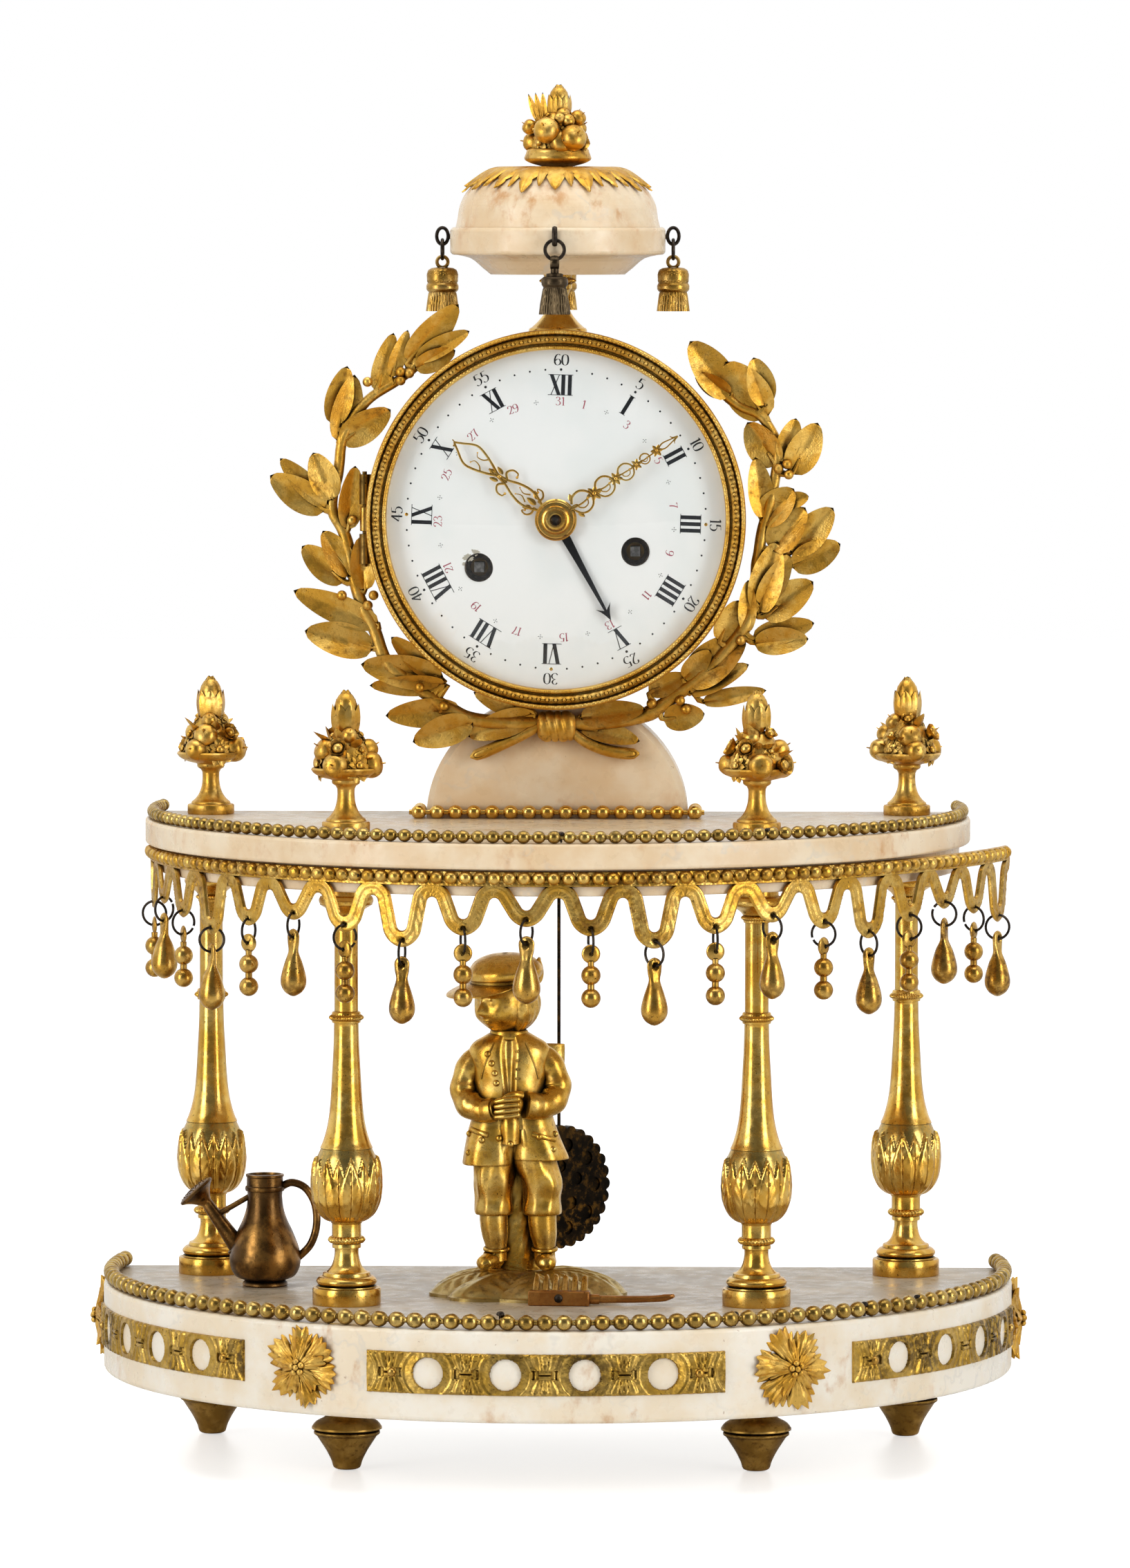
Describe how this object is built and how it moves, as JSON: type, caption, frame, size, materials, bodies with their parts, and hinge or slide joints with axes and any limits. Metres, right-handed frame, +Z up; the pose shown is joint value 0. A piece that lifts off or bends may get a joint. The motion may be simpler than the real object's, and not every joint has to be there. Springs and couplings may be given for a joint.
{
  "type": "portico clock",
  "caption": "Portico mantel clock: half-round marble base, turned gilt columns, upper slab with pendant fringe, drum dial in a laurel wreath, vase with tassels, gardener figure and pendulum.",
  "frame": {"origin": "on the floor under the middle of the clock's plan, from the front frieze to the rear tassel", "axes": "+Z up, -Y to the front with the dial, +X to the right of someone who looks at the dial"},
  "size_m": [0.3298, 0.207, 0.4741],
  "materials": {
    "gilt_bronze": "chased and fire-gilt bronze, worn on the high points, dark in the recesses",
    "cream_marble": "polished white marble gone warm cream, with orange-brown stains",
    "base_marble": "polished white marble, faintly grey and yellow",
    "enamel": "fired white enamel on copper, glossy",
    "glass": "clear domed glass",
    "movement_brass": "plain brass, lightly tarnished",
    "patinated_brass": "brass, dulled and brown",
    "blued_steel": "blued steel, almost black",
    "brown_bronze": "brown patinated bronze with rubbed yellow edges",
    "blackened_brass": "blackened brass with gold showing where it is worn"
  },
  "bodies": {
    "root": {"base_slab": "base_marble", "base_bead_rail": "gilt_bronze", "frieze_panels": "gilt_bronze", "base_rosettes": "gilt_bronze", "feet": "gilt_bronze", "column_front_left": "gilt_bronze", "column_front_right": "gilt_bronze", "column_rear_left": "gilt_bronze", "column_rear_right": "gilt_bronze", "column_finials": "gilt_bronze", "plateau_slab": "cream_marble", "plateau_bead_rail": "gilt_bronze", "fringe_band": "gilt_bronze", "dome_block": "cream_marble", "dome_bead_rail": "gilt_bronze", "drum_case": "patinated_brass", "dial": "enamel", "movement_plates": "movement_brass", "bell": "movement_brass", "laurel_wreath": "gilt_bronze", "vase_stem": "gilt_bronze", "vase": "cream_marble", "vase_mounts": "gilt_bronze", "vase_finial": "gilt_bronze", "gardener": "gilt_bronze", "watering_can": "brown_bronze", "rake": "gilt_bronze"},
    "bezel": {"bezel": "gilt_bronze", "bezel_glass": "glass"},
    "minute": {"minute_hand": "gilt_bronze"},
    "hour": {"hour_hand": "gilt_bronze"},
    "date": {"date_hand": "blued_steel"},
    "minute_wheel": {"minute_wheel": "movement_brass"},
    "going": {"going_barrel": "movement_brass"},
    "strike": {"strike_barrel": "movement_brass"},
    "pendulum": {"pendulum": "blackened_brass"},
    "tassel_front": {"tassel_front": "brown_bronze"},
    "tassel_right": {"tassel_right": "gilt_bronze"},
    "tassel_rear": {"tassel_rear": "gilt_bronze"},
    "tassel_left": {"tassel_left": "gilt_bronze"},
    "pear_drop_1": {"pear_drop_1": "gilt_bronze"},
    "bead_drop_1": {"bead_drop_1": "gilt_bronze"},
    "pear_drop_2": {"pear_drop_2": "gilt_bronze"},
    "bead_drop_2": {"bead_drop_2": "gilt_bronze"},
    "pear_drop_3": {"pear_drop_3": "gilt_bronze"},
    "bead_drop_3": {"bead_drop_3": "gilt_bronze"},
    "pear_drop_4": {"pear_drop_4": "gilt_bronze"},
    "bead_drop_4": {"bead_drop_4": "gilt_bronze"},
    "pear_drop_5": {"pear_drop_5": "gilt_bronze"},
    "bead_drop_5": {"bead_drop_5": "gilt_bronze"},
    "pear_drop_6": {"pear_drop_6": "gilt_bronze"},
    "bead_drop_6": {"bead_drop_6": "gilt_bronze"},
    "pear_drop_7": {"pear_drop_7": "gilt_bronze"},
    "bead_drop_7": {"bead_drop_7": "gilt_bronze"},
    "pear_drop_8": {"pear_drop_8": "gilt_bronze"},
    "bead_drop_8": {"bead_drop_8": "gilt_bronze"},
    "pear_drop_9": {"pear_drop_9": "gilt_bronze"},
    "bead_drop_9": {"bead_drop_9": "gilt_bronze"},
    "pear_drop_10": {"pear_drop_10": "gilt_bronze"},
    "bead_drop_10": {"bead_drop_10": "gilt_bronze"}
  },
  "joints": [
    {"name": "bezel_hinge", "type": "hinge", "parent": "root", "child": "bezel", "pos_m": [-0.0665, 0.03835, 0.3231], "axis": [0, 0, -1], "range_deg": [0, 68]},
    {"name": "pendulum_swing", "type": "hinge", "parent": "root", "child": "pendulum", "pos_m": [0, 0.07135, 0.3681], "axis": [0, 1, 0], "range_deg": [-4, 4]},
    {"name": "minute_turn", "type": "hinge", "parent": "root", "child": "minute", "pos_m": [0, 0.05735, 0.3231], "axis": [0, 1, 0], "continuous": true},
    {"name": "going_winding", "type": "hinge", "parent": "root", "child": "going", "pos_m": [0.0274, 0.05735, 0.312], "axis": [0, 1, 0], "continuous": true},
    {"name": "strike_winding", "type": "hinge", "parent": "root", "child": "strike", "pos_m": [-0.0267, 0.05735, 0.3065], "axis": [0, 1, 0], "continuous": true},
    {"name": "hour_turn", "type": "hinge", "parent": "root", "child": "hour", "pos_m": [0, 0.05735, 0.3231], "axis": [0, 1, 0], "continuous": true},
    {"name": "date_turn", "type": "hinge", "parent": "root", "child": "date", "pos_m": [0, 0.05735, 0.3231], "axis": [0, 1, 0], "continuous": true},
    {"name": "minute_wheel_turn", "type": "hinge", "parent": "root", "child": "minute_wheel", "pos_m": [0, 0.05735, 0.3111], "axis": [0, 1, 0], "continuous": true},
    {"name": "tassel_front_swing", "type": "hinge", "parent": "root", "child": "tassel_front", "pos_m": [0, 0.01715, 0.4197], "axis": [-1, 0, 0], "range_deg": [-10, 25]},
    {"name": "tassel_right_swing", "type": "hinge", "parent": "root", "child": "tassel_right", "pos_m": [0.0402, 0.05735, 0.4197], "axis": [0, -1, 0], "range_deg": [-10, 25]},
    {"name": "tassel_rear_swing", "type": "hinge", "parent": "root", "child": "tassel_rear", "pos_m": [0, 0.09755, 0.4197], "axis": [1, 0, 0], "range_deg": [-10, 25]},
    {"name": "tassel_left_swing", "type": "hinge", "parent": "root", "child": "tassel_left", "pos_m": [-0.0402, 0.05735, 0.4197], "axis": [0, 1, 0], "range_deg": [-10, 25]},
    {"name": "pear_drop_1_swing", "type": "hinge", "parent": "root", "child": "pear_drop_1", "pos_m": [-0.1349, 0.01498, 0.19335], "axis": [0.2997, -0.954, 0], "range_deg": [-18, 18]},
    {"name": "bead_drop_1_swing", "type": "hinge", "parent": "root", "child": "bead_drop_1", "pos_m": [-0.13977, 0.03595, 0.19025], "axis": [0.1514, -0.9885, 0], "range_deg": [-18, 18]},
    {"name": "pear_drop_2_swing", "type": "hinge", "parent": "root", "child": "pear_drop_2", "pos_m": [-0.11597, -0.02356, 0.18585], "axis": [0.5722, -0.8201, 0], "range_deg": [-18, 18]},
    {"name": "bead_drop_2_swing", "type": "hinge", "parent": "root", "child": "bead_drop_2", "pos_m": [-0.1269, -0.00501, 0.19025], "axis": [0.441, -0.8975, 0], "range_deg": [-18, 18]},
    {"name": "pear_drop_3_swing", "type": "hinge", "parent": "root", "child": "pear_drop_3", "pos_m": [-0.08634, -0.05463, 0.19335], "axis": [0.7919, -0.6106, 0], "range_deg": [-18, 18]},
    {"name": "bead_drop_3_swing", "type": "hinge", "parent": "root", "child": "bead_drop_3", "pos_m": [-0.10234, -0.04022, 0.19025], "axis": [0.6901, -0.7238, 0], "range_deg": [-18, 18]},
    {"name": "pear_drop_4_swing", "type": "hinge", "parent": "root", "child": "pear_drop_4", "pos_m": [-0.04875, -0.07538, 0.18585], "axis": [0.9387, -0.3448, 0], "range_deg": [-18, 18]},
    {"name": "bead_drop_4_swing", "type": "hinge", "parent": "root", "child": "bead_drop_4", "pos_m": [-0.06834, -0.06644, 0.19025], "axis": [0.8755, -0.4833, 0], "range_deg": [-18, 18]},
    {"name": "pear_drop_5_swing", "type": "hinge", "parent": "root", "child": "pear_drop_5", "pos_m": [-0.00667, -0.08389, 0.19335], "axis": [0.9989, -0.0472, 0], "range_deg": [-18, 18]},
    {"name": "bead_drop_5_swing", "type": "hinge", "parent": "root", "child": "bead_drop_5", "pos_m": [-0.02804, -0.08124, 0.19025], "axis": [0.9801, -0.1983, 0], "range_deg": [-18, 18]},
    {"name": "pear_drop_6_swing", "type": "hinge", "parent": "root", "child": "pear_drop_6", "pos_m": [0.03602, -0.07938, 0.18585], "axis": [0.967, 0.2548, 0], "range_deg": [-18, 18]},
    {"name": "bead_drop_6_swing", "type": "hinge", "parent": "root", "child": "bead_drop_6", "pos_m": [0.01485, -0.08327, 0.19025], "axis": [0.9945, 0.105, 0], "range_deg": [-18, 18]},
    {"name": "pear_drop_7_swing", "type": "hinge", "parent": "root", "child": "pear_drop_7", "pos_m": [0.0754, -0.06227, 0.19335], "axis": [0.846, 0.5332, 0], "range_deg": [-18, 18]},
    {"name": "bead_drop_7_swing", "type": "hinge", "parent": "root", "child": "bead_drop_7", "pos_m": [0.05636, -0.07233, 0.19025], "axis": [0.9171, 0.3986, 0], "range_deg": [-18, 18]},
    {"name": "pear_drop_8_swing", "type": "hinge", "parent": "root", "child": "pear_drop_8", "pos_m": [0.10808, -0.03437, 0.18585], "axis": [0.6794, 0.7338, 0], "range_deg": [-18, 18]},
    {"name": "bead_drop_8_swing", "type": "hinge", "parent": "root", "child": "bead_drop_8", "pos_m": [0.09268, -0.04944, 0.19025], "axis": [0.7552, 0.6555, 0], "range_deg": [-18, 18]},
    {"name": "pear_drop_9_swing", "type": "hinge", "parent": "root", "child": "pear_drop_9", "pos_m": [0.13417, -0.00015, 0.19335], "axis": [0.5273, 0.8497, 0], "range_deg": [-18, 18]},
    {"name": "bead_drop_9_swing", "type": "hinge", "parent": "root", "child": "bead_drop_9", "pos_m": [0.12194, -0.01789, 0.19025], "axis": [0.6061, 0.7954, 0], "range_deg": [-18, 18]},
    {"name": "pear_drop_10_swing", "type": "hinge", "parent": "root", "child": "pear_drop_10", "pos_m": [0.15326, 0.03842, 0.18585], "axis": [0.3559, 0.9345, 0], "range_deg": [-18, 18]},
    {"name": "bead_drop_10_swing", "type": "hinge", "parent": "root", "child": "bead_drop_10", "pos_m": [0.14464, 0.01868, 0.19025], "axis": [0.4436, 0.8962, 0], "range_deg": [-18, 18]}
  ],
  "couplings": [
    {"joint": "hour_turn", "follows": "minute_turn", "ratio": 0.083333},
    {"joint": "date_turn", "follows": "minute_turn", "ratio": 0.0013441},
    {"joint": "minute_wheel_turn", "follows": "minute_turn", "ratio": -0.33333}
  ]
}
